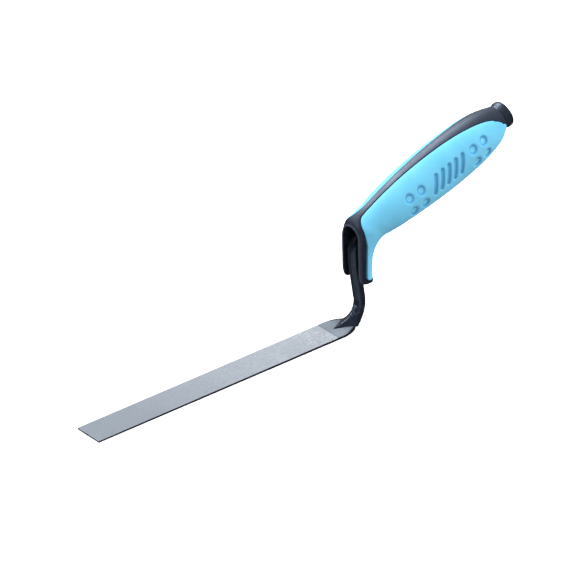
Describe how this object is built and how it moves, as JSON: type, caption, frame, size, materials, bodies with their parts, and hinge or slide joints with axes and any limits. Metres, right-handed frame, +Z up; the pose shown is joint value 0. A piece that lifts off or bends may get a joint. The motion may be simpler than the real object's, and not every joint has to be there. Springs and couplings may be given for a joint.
{
  "type": "tuck pointer",
  "caption": "Narrow flat pointing blade on a cranked steel shank, with a moulded handle in a hard core and a soft grip.",
  "frame": {"origin": "on the flat underside of the blade, on its centre line, at the ground line where the blade meets its heel", "axes": "+Z up from the blade's flat, -X along the blade to its tip, +X towards the handle, +Y across the blade; the XZ plane is the symmetry plane"},
  "size_m": [0.2602, 0.023, 0.0879],
  "materials": {
    "blade_steel": "lengthwise ground, with a duller heel",
    "shank_paint": "satin black paint",
    "tang_adhesive": "cured adhesive, hidden in the handle",
    "core_plastic": "finely grained black moulding",
    "grip_rubber": "soft satin light blue",
    "cap_plastic": "satin black moulding"
  },
  "bodies": {
    "root": {"blade": "blade_steel", "shank": "shank_paint", "tang_bond": "tang_adhesive", "handle_core": "core_plastic", "grip_sleeve": "grip_rubber", "butt_cap": "cap_plastic"}
  },
  "joints": []
}
